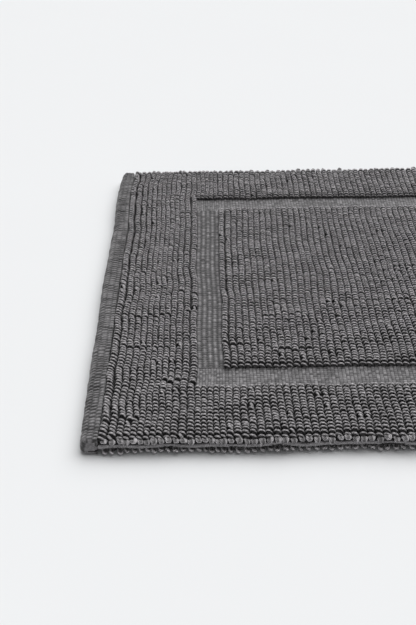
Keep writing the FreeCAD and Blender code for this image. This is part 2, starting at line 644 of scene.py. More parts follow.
@dataclass(frozen=True)
class LoopShape:
    """The shape of a loop, or of a stitch, and how much neighbours differ."""

    half_width: float = 2.14 * MM
    height: float = 6.15 * MM
    thickness: float = 0.93 * MM
    ply_gap: float = 0.37 * MM
    twist: float = 0.42
    squareness: float = 0.70
    slant: float = math.radians(-15)
    slant_spread: float = math.radians(8)
    height_spread: float = 0.28 * MM
    tilt_spread: float = 0.055
    odd_share: float = 0.06
    droop: float = 1.0
    sides: int = 4
    bends: int = 5
    plies: int = 2

    def inputs(self, face: Face, seed: int, material: bpy.types.Material) -> dict[str, object]:
        """The tree's named inputs for this shape."""
        return {
            "Half Width": self.half_width, "Height": self.height, "Thickness": self.thickness,
            "Ply Gap": self.ply_gap, "Twist": self.twist, "Squareness": self.squareness,
            "Slant": self.slant, "Slant Spread": self.slant_spread, "Height Spread": self.height_spread,
            "Tilt Spread": self.tilt_spread, "Odd Share": self.odd_share, "Droop": self.droop,
            "Face": float(face.value), "Sides": self.sides, "Bends": self.bends, "Seed": seed,
            "Two Plies": self.plies == 2, "Material": material,
        }


def build_loop_tree() -> bpy.types.NodeTree:
    """The tree that makes one loop of yarn at each point of a mesh.

    A loop starts as one or two plain tubes, its plies. Each vertex knows how far along the yarn it is,
    which ply it is on and where it is round the ply, and from those it is put on a narrow arch, with the
    plies twisted round each other. The arch is skewed, leant, bent over the edge and slanted in plan, by
    amounts that differ from loop to loop.

    Returns:
        The tree.
    """
    g = Geometry("yarn_loops")
    names = ["Half Width", "Height", "Thickness", "Ply Gap", "Twist", "Squareness", "Slant", "Slant Spread",
             "Height Spread", "Tilt Spread", "Odd Share", "Droop", "Face"]
    size = {name: g.ask(name) for name in names}
    sides, bends, seed = (g.ask(name, "NodeSocketInt") for name in ("Sides", "Bends", "Seed"))
    two, material = g.ask("Two Plies", "NodeSocketBool"), g.ask("Material", "NodeSocketMaterial")

    seat = g.out(g.add("GeometryNodeInputPosition"))
    seats = Wire(g, g.entry.outputs[0])
    points = g.out(g.add("GeometryNodeMeshToPoints", {"mode": "VERTICES"}, Mesh=seats))
    points = g.keep(points, "seat", seat, "FLOAT_VECTOR")
    odd = g.maths("LESS_THAN", g.chance(seed, 1, 0.0, 1.0), size["Odd Share"])
    swing = g.chance(seed, 2, -1.0, 1.0)
    slant = (size["Slant"] + g.read("turn") + size["Slant Spread"] * (swing + g.drift(seat, 45, 3.0))
             + odd * g.chance(seed, 3, -0.8, 0.6))
    tall = (size["Height"] + size["Height Spread"] * (g.chance(seed, 4, -1.0, 1.0) + g.drift(seat, 60, 7.0))
            + odd * size["Height Spread"] - g.read("sink"))
    own = {
        "slant": slant, "tall": tall,
        "fat": g.chance(seed, 5, 0.88, 1.12), "wide": g.chance(seed, 6, 0.95, 1.07),
        "tilt": size["Tilt Spread"] * (g.chance(seed, 7, -1.0, 1.0) + g.drift(seat, 50, 11.0)),
        "skew": size["Tilt Spread"] * g.chance(seed, 8, -1.0, 1.0),
        "tone": g.chance(seed, 9, 0.0, 1.0), "roll": g.chance(seed, 10, -0.5, 0.5),
    }
    for name, value in own.items():
        points = g.keep(points, name, value)

    tube = g.add("GeometryNodeMeshCylinder", {"fill_type": "NGON"}, Vertices=sides, Side_Segments=bends,
                 Radius=1.0, Depth=1.0)
    tube_x, tube_y, tube_z = g.split(g.out(g.add("GeometryNodeInputPosition")))
    yarn = g.keep(g.out(tube), "along", tube_z + 0.5)
    yarn = g.keep(yarn, "rim", g.combine(tube_x, tube_y, 0.0), "FLOAT_VECTOR")
    pair = g.add("GeometryNodeJoinGeometry")
    for sign in (1.0, -1.0):
        g.tree.links.new(g.keep(yarn, "ply", sign).socket, pair.inputs[0])
    single = g.keep(yarn, "ply", 0.0)
    strands = g.add("GeometryNodeSwitch", {"input_type": "GEOMETRY"}, Switch=two, i1=single, i2=g.out(pair))
    placed = g.add("GeometryNodeInstanceOnPoints", Points=points, Instance=g.out(strands))
    solid = g.out(g.add("GeometryNodeRealizeInstances", Geometry=g.out(placed)))

    along, ply = g.read("along"), g.read("ply")
    rim_x, rim_y, _ = g.split(g.read("rim", "FLOAT_VECTOR"))
    tall, fat, wide = g.read("tall"), g.read("fat"), g.read("wide")
    cosine, sine = g.maths("COSINE", along * math.pi), g.maths("SINE", along * math.pi)
    run = g.maths("SIGN", cosine) * g.maths("ABSOLUTE", cosine) ** size["Squareness"]
    rise = g.maths("ABSOLUTE", sine) ** size["Squareness"]
    half = (size["Half Width"] + g.read("room")) * wide
    normal = g.combine(-1.0 * cosine * tall, 0.0, sine * half)
    normal = g.out(g.add("ShaderNodeVectorMath", {"operation": "NORMALIZE"}, i0=normal))
    out_x, _, out_z = g.split(normal)
    thick = size["Thickness"] * fat
    wind = (along - 0.5) * size["Twist"] * (2 * math.pi) + g.read("roll")
    gap = ply * size["Ply Gap"] * fat
    radial = thick * rim_x + gap * g.maths("SINE", wind) * 0.7
    x = -1.0 * half * run + out_x * radial
    z = (tall - thick) * rise + out_z * radial
    y = -1.0 * thick * rim_y - gap * g.maths("COSINE", wind)
    # beside: how far a point lies from the loop's middle across its plies. The yarn material paints shade
    # on the flanks from it.
    solid = g.keep(solid, "beside", g.maths("ABSOLUTE", y) / (thick + g.maths("ABSOLUTE", gap)))
    y = y + (g.read("tilt") + g.read("lean")) * z
    x = x + (g.read("skew") + g.read("splay")) * z
    slant = g.read("slant")
    turn_c, turn_s = g.maths("COSINE", slant), g.maths("SINE", slant)
    x, y = x * turn_c - y * turn_s, x * turn_s + y * turn_c

    outward = g.read("outward")
    bend = g.maths("MAXIMUM", g.maths("ABSOLUTE", outward) * size["Droop"], 1.0)
    way = g.maths("SIGN", outward + 0.001)
    radius = 1.0 / bend
    swept = z * bend
    inward = -1.0 * way * y
    y = -1.0 * way * ((radius + inward) * g.maths("COSINE", swept) - radius)
    z = (radius + inward) * g.maths("SINE", swept)
    shape = g.combine(x, y * size["Face"], z * size["Face"])
    base = g.read("seat", "FLOAT_VECTOR")
    final = g.out(g.add("ShaderNodeVectorMath", {"operation": "ADD"}, i0=base, i1=shape))
    solid = g.out(g.add("GeometryNodeSetPosition", Geometry=solid, Position=final))
    for name in ("seat", *(name for name in own if name != "tone"), "ply", *SEAT_TRAITS):
        solid = g.out(g.add("GeometryNodeRemoveAttribute", Geometry=solid, Name=name))
    smooth = g.add("GeometryNodeSetShadeSmooth", Geometry=solid)
    dressed = g.add("GeometryNodeSetMaterial", Geometry=g.out(smooth), Material=material)
    g.put(g.exit.inputs[0], g.out(dressed))
    return g.tree


SEAT_TRAITS = ("lean", "splay", "outward", "turn", "sink", "room")


@dataclass
class Seats:
    """The points that loops stand on, and how each differs because of where it is."""

    points: np.ndarray
    lean: np.ndarray
    splay: np.ndarray
    outward: np.ndarray
    turn: np.ndarray
    sink: np.ndarray
    room: np.ndarray

    @classmethod
    def on_grid(cls, x: np.ndarray, y: np.ndarray, z: float) -> "Seats":
        """Seats on every crossing of the rows and the picks."""
        grid_x, grid_y = (a.ravel() for a in np.meshgrid(x, y, indexing="ij"))
        points = np.stack([grid_x, grid_y, np.full(len(grid_x), z)], axis=1)
        return cls(points, *(np.zeros(len(grid_x)) for _ in SEAT_TRAITS))

    def source(self, name: str) -> bpy.types.Object:
        """A mesh of loose points with the attributes that the loop tree reads."""
        source = make_piece(name, self.points, [])
        for title in SEAT_TRAITS:
            layer = source.data.attributes.new(title, "FLOAT", "POINT")
            layer.data.foreach_set("value", getattr(self, title).astype(np.float32))
        return source


@dataclass(frozen=True)
class Crease:
    """A line across the rows where the pile parts, from one point of the plan to another."""

    start: tuple[float, float]
    end: tuple[float, float]
    strength: float = 1.0
    width: float = 3.4 * MM
    waver: float = 1.6 * MM
    overrun: float = 3 * MM
    fade_run: float = 8 * MM

    @classmethod
    def from_corner(cls, plan: Plan, *numbers: float) -> "Crease":
        """A crease given in millimetres from the front left corner, and its strength."""
        x0, y0, x1, y1, strength = numbers
        left, front = -plan.half_length, -plan.half_depth
        start = (left + x0 * MM, front + y0 * MM)
        return cls(start, (left + x1 * MM, front + y1 * MM), strength)

    def pull(self, x: np.ndarray, y: np.ndarray) -> tuple[np.ndarray, np.ndarray]:
        """How strongly the crease acts at each point, and on which side of it the point is.

        Args:
            x: X of each point.
            y: Y of each point.

        Returns:
            The strength from 0 to 1, and the signed distance from the line in widths.
        """
        run = np.array(self.end) - np.array(self.start)
        length = float(np.hypot(*run))
        along = ((x - self.start[0]) * run[0] + (y - self.start[1]) * run[1]) / length
        across = (run[0] * (y - self.start[1]) - run[1] * (x - self.start[0])) / length
        across = across + self.waver * soft_noise(along, along * 0, 7 * MM, 51)
        from_tip = np.minimum(along, length - along)
        fade = np.clip((from_tip + self.overrun) / self.fade_run, 0, 1)
        return self.strength * fade * np.exp(-((across / self.width) ** 2)), across / self.width


@dataclass
class LoopMaker:
    """Makes pieces of loops with the one loop tree."""

    lie: Lie
    tree: bpy.types.NodeTree = field(default_factory=build_loop_tree)

    def make(self, name: str, seats: Seats, shape: LoopShape, face: Face, seed: int,
             material: bpy.types.Material) -> bpy.types.Object:
        """Makes one piece of loops.

        Args:
            name: the piece's name.
            seats: where its loops stand.
            shape: what its loops are like.
            face: which face of the mat it is on.
            seed: which random draws it uses.
            material: its yarn.

        Returns:
            The piece, lying as the mat does.
        """
        if face is Face.REVERSE:
            seats.lean, seats.outward = -seats.lean, -seats.outward
        piece = run_tree(self.tree, seats.source(name + "_seats"), shape.inputs(face, seed, material), name)
        self.lie.settle(piece)
        report(piece)
        return piece


def report(piece: bpy.types.Object) -> None:
    """Logs a finished piece and its number of triangles."""
    triangles = sum(len(p.vertices) - 2 for p in piece.data.polygons)
    log.info("%s: %d triangles", piece.name, triangles)


def ride(piece: bpy.types.Object, slot: str, *nodes: str) -> bpy.types.Object:
    """Puts a piece on the mat's one body in place of its nodes."""
    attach(piece, "root")
    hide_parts(*nodes)
    return piece


@dataclass
class Pile:
    """The loop pile of both faces: the middle field, the border's four sides and the edge rows."""

    plan: Plan
    maker: LoopMaker
    top: LoopShape = LoopShape()
    reverse: LoopShape = LoopShape(half_width=1.6 * MM, height=5.9 * MM, thickness=1.25 * MM,
                                   sides=4, bends=3, plies=1)
    edge: LoopShape = LoopShape(half_width=1.42 * MM, height=9.0 * MM, thickness=1.16 * MM,
                                ply_gap=0.80 * MM, twist=0.5, squareness=0.60, slant=math.radians(4),
                                slant_spread=math.radians(20), height_spread=0.9 * MM, tilt_spread=0.10,
                                droop=320.0, sides=6, bends=7)
    reverse_edge: LoopShape = LoopShape(half_width=1.4 * MM, height=7.4 * MM, thickness=1.2 * MM,
                                        slant_spread=math.radians(22), height_spread=1.3 * MM,
                                        droop=330.0, sides=5, bends=6, plies=1)
    rooted: float = 0.75 * MM
    side_turn: float = math.radians(-17)
    side_reach: float = 70 * MM
    bow: float = 1.4 * MM
    usual_pitch: float = 5.75 * MM
    turn_room: float = 0.50 * MM
    edge_lean: float = 0.50
    front_channel_lean: float = 0.45
    back_channel_lean: float = 0.10
    hem_splay: float = 0.27
    channel_splay: float = 0.20
    crease_lean: float = 0.44
    crease_sink: float = 1.3 * MM
    jitter: float = 0.24 * MM
    field_groups: int = 4
    reverse_groups: int = 2
    top_creases: tuple[tuple[float, ...], ...] = (
        (9, 33, 24, 24, 1.0), (21, 29, 45, 28.5, 0.9), (57, 79, 91, 77.5, 0.8),
        (124, 22.5, 190, 23, 0.5), (114, 134, 150, 132, 0.8), (150, 125, 204, 122, 0.7),
        (18, 131, 60, 129, 0.6), (24, 181, 66, 183, 0.6), (128, 178, 196, 181, 0.5),
        (70, 222, 92, 220, 0.5), (18, 262, 50, 264, 0.5), (230, 205, 300, 203, 0.4),
    )
    pieces: list[bpy.types.Object] = field(default_factory=list)

    def zone_seats(self, zone: Zone, face: Face, outer: Zone | None = None) -> Seats:
        """The seats of a rectangle of pile, whose outermost loops lean out over what is beside them.

        Args:
            zone: the rectangle.
            face: which face it is on.
            outer: the whole zone that it is a part of, whose rim is where loops lean out.

        Returns:
            The seats.
        """
        outer = outer or zone
        rows = self.plan.rows_in(zone).mean(axis=1)
        picks = max(1, round((zone.back - zone.front) / LOOP_SPACING))
        step = (zone.back - zone.front) / picks
        level = self.plan.ground_high if face is Face.TOP else self.plan.ground_low
        lines = zone.front + step * (np.arange(picks) + 0.5)
        seats = Seats.on_grid(rows, lines, level - face.value * self.rooted)
        x, y, _ = seats.points.T
        for side, edge, distance in ((-1, outer.front, y - outer.front), (1, outer.back, outer.back - y)):
            beside = np.exp(-np.clip(distance - step / 2, 0, None) / (0.8 * step))
            if abs(abs(edge) - self.plan.edge_y) < 1 * MM:
                seats.lean += side * self.edge_lean * beside
            elif outer.right - outer.left > 0.2:
                reach = self.front_channel_lean if side < 0 else self.back_channel_lean
                seats.lean += side * reach * beside * (np.abs(x) < self.plan.channel_x)
        for side, edge, distance in ((-1, outer.left, x - outer.left), (1, outer.right, outer.right - x)):
            by_hem = abs(abs(edge) - self.plan.pile_x) < 1 * MM
            reach = self.hem_splay if by_hem else self.channel_splay
            seats.splay += side * reach * np.exp(-np.clip(distance - 3 * MM, 0, None) / (3 * MM))
        from_end = self.plan.half_length - np.abs(x)
        seats.turn = self.side_turn * np.exp(-np.clip(from_end - 12 * MM, 0, None) / self.side_reach)
        pitch = np.repeat(np.diff(self.plan.rows_in(zone), axis=1)[:, 0], picks) * (1 + self.bowing(x)[1])
        seats.room = 0.515 * (pitch - self.usual_pitch) + self.turn_room * seats.turn / self.side_turn
        self.part_pile(seats, x, y)
        self.wander(seats, x, y, face)
        return seats

    def bowing(self, x: np.ndarray) -> tuple[np.ndarray, np.ndarray]:
        """How far the border's rows lie off their straight places, and how much wider that makes them.

        Args:
            x: X of each point.

        Returns:
            The shift along X in metres, and the share that a row is wider by.
        """
        wide = self.plan.pile_x - self.plan.channel_x
        turn = 2 * math.pi * np.clip((self.plan.pile_x - np.abs(x)) / wide, 0, 1)
        inside = (self.plan.pile_x - np.abs(x)) < wide
        stretch = 2 * math.pi * self.bow / wide * np.cos(turn) * inside
        return -np.sign(x) * self.bow * np.sin(turn) * inside, stretch

    def part_pile(self, seats: Seats, x: np.ndarray, y: np.ndarray) -> None:
        """Leans loops away from each crease, and shortens the ones beside it."""
        for numbers in self.top_creases:
            pull, across = Crease.from_corner(self.plan, *numbers).pull(x, y)
            seats.lean += self.crease_lean * pull * np.tanh(3 * across)
            seats.sink += self.crease_sink * pull * np.exp(-((across / 0.6) ** 2))

    def wander(self, seats: Seats, x: np.ndarray, y: np.ndarray, face: Face) -> None:
        """Moves seats off their straight rows: the border's rows bow, and every row and loop wobbles."""
        p = self.plan
        along_border = (p.pile_x - np.abs(x)) / (p.pile_x - p.channel_x)
        wild = 0.35 + 0.30 * np.clip(1.25 - along_border * 0.7, 0, 1)
        draw = np.random.default_rng(31 + face.value + int(1000 * abs(x.min())))
        seats.points[:, 0] += self.bowing(x)[0]
        seats.points[:, 0] += 0.95 * MM * wild * soft_noise(x * 0.5, y * 0.9, 22 * MM, 21 + face.value)
        seats.points[:, 1] += 0.8 * MM * soft_noise(x * 0.8, y * 1.2, 18 * MM, 27 + face.value)
        for axis in (0, 1):
            seats.points[:, axis] += draw.uniform(-self.jitter, self.jitter, len(x))

    def build(self, material: bpy.types.Material, painted_light_edge_material: bpy.types.Material) -> None:
        """Makes every piece of pile.

        Args:
            material: the yarn's finish.
            painted_light_edge_material: the finish of the large loops along the long edges: a lighter copy
                of the yarn with less painted shade, as painted light.
        """
        p = self.plan
        zones = {
            "field": Zone(-p.field_x, p.field_x, -p.field_y, p.field_y),
            "front_border": Zone(-p.pile_x, p.pile_x, -p.edge_y, -p.channel_y),
            "back_border": Zone(-p.pile_x, p.pile_x, p.channel_y, p.edge_y),
            "left_border": Zone(-p.pile_x, -p.channel_x, -p.channel_y, p.channel_y),
            "right_border": Zone(p.channel_x, p.pile_x, -p.channel_y, p.channel_y),
        }
        seed = 100
        for face in Face:
            prefix = "top" if face is Face.TOP else "reverse"
            shape = self.top if face is Face.TOP else self.reverse
            for name, zone in zones.items():
                groups = 1
                if name == "field":
                    groups = self.field_groups if face is Face.TOP else self.reverse_groups
                for number, part in enumerate(self.split(zone, groups)):
                    seed += 1
                    title = f"{prefix}_{name}_loops" + (f"_{number + 1}" if groups > 1 else "")
                    seats = self.zone_seats(part, face, zone)
                    piece = self.maker.make(title, seats, shape, face, seed, material)
                    self.pieces.append(ride(piece, "loop_pile", f"{prefix}_{name}_pile"))
            for edge, side in (("front", -1), ("back", 1)):
                seed += 1
                self.pieces.append(self.edge_row(prefix, edge, side, face, seed, painted_light_edge_material))

    def split(self, zone: Zone, groups: int) -> list[Zone]:
        """Cuts a zone between rows into groups of about as many rows each."""
        rows = self.plan.rows_in(zone)
        cuts = [round(len(rows) * i / groups) for i in range(groups + 1)]
        return [Zone(rows[a, 0], rows[b - 1, 1], zone.front, zone.back) for a, b in zip(cuts, cuts[1:])]

    def edge_row(self, prefix: str, edge: str, side: int, face: Face, seed: int,
                 material: bpy.types.Material) -> bpy.types.Object:
        """Makes the row of large loops that flops over a long edge.

        Args:
            prefix: the face's word in piece names.
            edge: front or back.
            side: -1 at the front and 1 at the back.
            face: which face it is on.
            seed: which random draws it uses.
            material: the yarn's finish, a lighter copy with less painted shade, as painted light.

        Returns:
            The piece.
        """
        p = self.plan
        rows = p.rows_in(Zone(-p.pile_x, p.pile_x, 0, 0)).mean(axis=1)
        inset = 5.2 * MM if face is Face.TOP else 4.6 * MM
        level = p.ground_high - 0.6 * MM if face is Face.TOP else p.ground_low + 0.2 * MM
        seats = Seats.on_grid(rows, np.array([side * (p.half_depth - inset)]), level)
        draw = np.random.default_rng(seed)
        count = len(rows)
        seats.points[:, 0] += self.bowing(rows)[0] + draw.uniform(-0.5, 0.5, count) * MM
        seats.points[:, 1] += draw.uniform(-0.5, 0.5, count) * MM
        seats.outward = side * draw.uniform(0.85, 1.12, count)
        if face is Face.REVERSE:
            from_end = p.half_length - np.abs(rows)
            seats.points[:, 1] += side * 1.6 * MM * np.exp(-((from_end / (40 * MM)) ** 2))
        shape = self.edge if face is Face.TOP else self.reverse_edge
        piece = self.maker.make(f"{prefix}_{edge}_edge_row", seats, shape, face, seed, material)
        return ride(piece, "loop_pile", f"{prefix}_{edge}_edge_loops")


# ---------------------------------------------------------------- flat weave, hems, edges


def slab_faces(columns: int, rows: int) -> list[tuple[int, ...]]:
    """The faces of a closed slab: a grid of columns by rows points, walls down to a ring, and one sole.

    Args:
        columns: points along X.
        rows: points along Y.

    Returns:
        The faces. The grid's points come first, and then the ring's, in the order of the grid's border.
    """
    faces = []
    for i in range(columns - 1):
        for j in range(rows - 1):
            faces.append((i * rows + j, (i + 1) * rows + j, (i + 1) * rows + j + 1, i * rows + j + 1))
    border, first = grid_border(columns, rows), columns * rows
    count = len(border)
    for k in range(count):
        after = (k + 1) % count
        faces.append((border[k], first + k, first + after, border[after]))
    faces.append(tuple(first + k for k in reversed(range(count))))
    return faces


def grid_border(columns: int, rows: int) -> list[int]:
    """The numbers of a grid's outermost points, counter-clockwise from its first."""
    last = (columns - 1) * rows
    border = [i * rows for i in range(columns)] + [last + j for j in range(1, rows)]
    border += [i * rows + rows - 1 for i in range(columns - 2, -1, -1)]
    return border + list(range(rows - 2, 0, -1))


def add_cloth_map(piece: bpy.types.Object, u: np.ndarray, v: np.ndarray, deep: np.ndarray) -> None:
    """Stores where each vertex is on the cloth, in metres, and how much the weave darkens it, from 0 to 1,
    mostly as painted shade in grooves and hollows.
    """
    layer = piece.data.attributes.new("cloth", "FLOAT_VECTOR", "POINT")
    layer.data.foreach_set("vector", np.stack([u, v, deep], axis=1).astype(np.float32).ravel())


def along_line(line: np.ndarray) -> np.ndarray:
    """How far along a line of points each one is."""
    return np.concatenate([[0], np.cumsum(np.linalg.norm(np.diff(line, axis=0), axis=1))])


def tube_faces(rings: int, count: int, side: int) -> list[tuple[int, ...]]:
    """The faces of a closed tube, whose last two are its ends.

    Args:
        rings: how many sections it has.
        count: the points of each section.
        side: -1 turns every face the other way.

    Returns:
        The faces. The points come section by section.
    """
    faces = []
    for j in range(rings - 1):
        for i in range(count):
            a, b = j * count + i, j * count + (i + 1) % count
            faces.append((a, b, b + count, a + count))
    faces += [tuple(reversed(range(count))), tuple((rings - 1) * count + i for i in range(count))]
    return [tuple(reversed(f)) for f in faces] if side < 0 else faces


def woven(lie: Lie, name: str, points: np.ndarray, faces: Sequence[Sequence[int]],
          cloth_map: tuple[np.ndarray, np.ndarray, np.ndarray],
          material: bpy.types.Material) -> bpy.types.Object:
    """Makes a woven piece that lies as the mat does.

    Args:
        lie: how the mat lies.
        name: the piece's name.
        points: its vertices, on the flat mat.
        faces: its faces.
        cloth_map: two distances along the cloth, and how much the weave darkens each vertex, mostly as
            painted shade in grooves.
        material: its weave.

    Returns:
        The piece.
    """
    piece = make_piece(name, points, faces, material)
    add_cloth_map(piece, *cloth_map)
    lie.settle(piece)
    report(piece)
    return piece


@dataclass
class GroundWeave:
    """The ground cloth, and the flat-woven frame that shows on each face."""

    plan: Plan
    lie: Lie
    column_groove: float = 0.70 * MM
    pick_groove: float = 0.75 * MM
    checker: float = 0.10 * MM
    cloth_inset: float = 0.2 * MM
    side_pick: float = 3.46 * MM
    long_pick: float = 2.8 * MM
    pieces: list[bpy.types.Object] = field(default_factory=list)

    def cloth(self, material: bpy.types.Material) -> bpy.types.Object:
        """Makes the ground cloth as a thin closed slab.

        Args:
            material: its weave.

        Returns:
            The piece.
        """
        low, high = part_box("ground_weave")
        x, y = np.linspace(low.x, high.x, 96), np.linspace(low.y, high.y, 60)
        gx, gy = np.meshgrid(x, y, indexing="ij")
        layers = [np.stack([gx, gy, np.full(gx.shape, z)], axis=-1).reshape(-1, 3)
                  for z in (high.z - self.cloth_inset, low.z + self.cloth_inset)]
        under, faces = gx.size, []
        for i in range(len(x) - 1):
            for j in range(len(y) - 1):
                ring = [i * len(y) + j, (i + 1) * len(y) + j, (i + 1) * len(y) + j + 1, i * len(y) + j + 1]
                faces += [tuple(ring), tuple(under + k for k in reversed(ring))]
        border = grid_border(len(x), len(y))
        faces += [(a, under + a, under + b, b) for a, b in zip(border, border[1:] + border[:1])]
        cloth_map = np.tile(gx.ravel(), 2), np.tile(gy.ravel(), 2), np.zeros(2 * gx.size)
        return woven(self.lie, "ground_cloth_in_painted_shade", np.concatenate(layers), faces, cloth_map, material)

    def strip(self, name: str, columns: np.ndarray, picks: np.ndarray, fine: bool, face: Face, seed: int,
              material: bpy.types.Material) -> bpy.types.Object:
        """Makes one woven strip of a frame, with its sole inside the ground cloth.

        Args:
            name: the piece's name.
            columns: the lines between columns.
            picks: the lines between picks.
            fine: whether its relief gets its full number of points.
            face: which face it is on.
            seed: which random draws it uses.
            material: its weave.

        Returns:
            The piece.
        """
        wide = np.diff(columns).mean() > 4 * MM
        x = self.sampled(columns, (0.12, 0.5, 0.88) if wide and fine else (0.2, 0.8) if fine else (0.5,))
        y = self.sampled(picks, (0.2, 0.8) if fine else (0.5,))
        gx, gy = np.meshgrid(x, y, indexing="ij")
        height, deep = self.relief(columns, picks, gx, gy, face, seed)
        shaped = np.stack([gx, gy, height], axis=-1).reshape(-1, 3)
        ring = shaped[grid_border(len(x), len(y))].copy()
        ring[:, 2] = self.plan.ground_high - MM if face is Face.TOP else self.plan.ground_low + MM
        faces = slab_faces(len(x), len(y))
        if face is Face.REVERSE:
            faces = [tuple(reversed(f)) for f in faces]
        points = np.concatenate([shaped, ring])
        # The walls and sole are painted fully dark, as shade.
        cloth_map = points[:, 0], points[:, 1], np.concatenate([deep.ravel(), np.ones(len(ring))])
        return woven(self.lie, name, points, faces, cloth_map, material)

    @staticmethod
    def sampled(lines: np.ndarray, shares: tuple[float, ...]) -> np.ndarray:
        """The lines, and points between each two at the given shares of the gap."""
        steps = np.diff(lines)
        return np.sort(np.concatenate([lines, *(lines[:-1] + steps * share for share in shares)]))

    def relief(self, columns: np.ndarray, picks: np.ndarray, gx: np.ndarray, gy: np.ndarray, face: Face,
               seed: int) -> tuple[np.ndarray, np.ndarray]:
        """The shape of a woven strip, pillowed between its columns and picks.

        Args:
            columns: the lines between columns.
            picks: the lines between picks.
            gx: X of each point.
            gy: Y of each point.
            face: which face it is on.
            seed: which random draws it uses.

        Returns:
            The height of each point, and how much the weave darkens it: painted shade in the grooves, a
            random darker tone for each cell, and a darker tone over the wide side strips.
        """
        draw = np.random.default_rng(seed)
        size = (len(columns), len(picks))
        jitter, bite = draw.uniform(-0.18, 0.18, size) * MM, draw.uniform(0.15, 1.0, size)
        crest = self.plan.channel_high if face is Face.TOP else self.plan.channel_low
        i = np.clip(np.searchsorted(columns, gx + 1e-6, side="right") - 1, 0, len(columns) - 2)
        j = np.clip(np.searchsorted(picks, gy + 1e-6, side="right") - 1, 0, len(picks) - 2)
        s = np.clip((gx - columns[i]) / (columns[i + 1] - columns[i]), 0, 1)
        t = np.clip((gy - picks[j]) / (picks[j + 1] - picks[j]), 0, 1)
        rib, pick = np.abs(np.sin(np.pi * s)) ** 0.7, np.abs(np.sin(np.pi * t)) ** 0.7
        inside = rib * pick
        weave = self.checker * np.where((i + j) % 2 == 0, 1.0, -1.0) * inside
        drop = self.column_groove * (1 - rib) + self.pick_groove * bite[i, j] * (1 - pick)
        drop = drop - jitter[i, j] * inside - weave
        coarse = float(np.diff(columns).mean() > 4 * MM)
        drop = drop * (1 + 0.4 * coarse)
        # Painted shade in the grooves between columns and picks, stronger on the wide side strips, plus a
        # random tone for each cell and a darker tone over the side strips.
        lines = (1 + 0.5 * coarse) * (1 - rib) + (1.1 - 0.3 * coarse) * bite[i, j] * (1 - pick)
        uneven = draw.uniform(0, 0.55, size)[i, j] * inside
        deep = np.clip(0.14 * coarse + (1 + 0.8 * coarse) * lines + uneven, 0, 1)
        return crest - face.value * (drop + HAIR), deep

    def channels(self, material: bpy.types.Material) -> None:
        """Makes the four strips of the flat-woven frame on each face.

        Args:
            material: their weave.
        """
        p = self.plan
        lines = p.row_lines()
        inside = lines[np.abs(lines) < p.channel_x + HAIR]
        halves = np.sort(np.concatenate([inside, (inside[1:] + inside[:-1]) / 2]))
        left = inside[inside < -p.field_x + HAIR]
        right = inside[inside > p.field_x - HAIR]
        strips = {
            "front": (halves, -p.channel_y, -p.field_y, self.long_pick),
            "back": (halves, p.field_y, p.channel_y, self.long_pick),
            "left": (left, -p.field_y, p.field_y, self.side_pick),
            "right": (right, -p.field_y, p.field_y, self.side_pick),
        }
        for face in Face:
            prefix = "top" if face is Face.TOP else "reverse"
            for number, (side, (columns, front, back, pick)) in enumerate(strips.items()):
                picks = np.linspace(front, back, round((back - front) / pick) + 1)
                seed, name = 60 + number + 10 * face.value, f"{prefix}_channel_{side}"
                piece = self.strip(name, columns, picks, face is Face.TOP, face, seed, material)
                self.pieces.append(ride(piece, "flat_weave", f"{prefix}_channel_weave"))

    def build(self, ground: bpy.types.Material, flat: bpy.types.Material) -> bpy.types.Object:
        """Makes the ground cloth and the frames.

        Args:
            ground: the ground cloth's finish, painted nearly black as the shade in the gaps between the
                loops.
            flat: the frames' finish.

        Returns:
            The ground cloth, which carries everything else.
        """
        piece = ride(self.cloth(ground), "flat_weave", "ground_weave")
        self.channels(flat)
        return piece


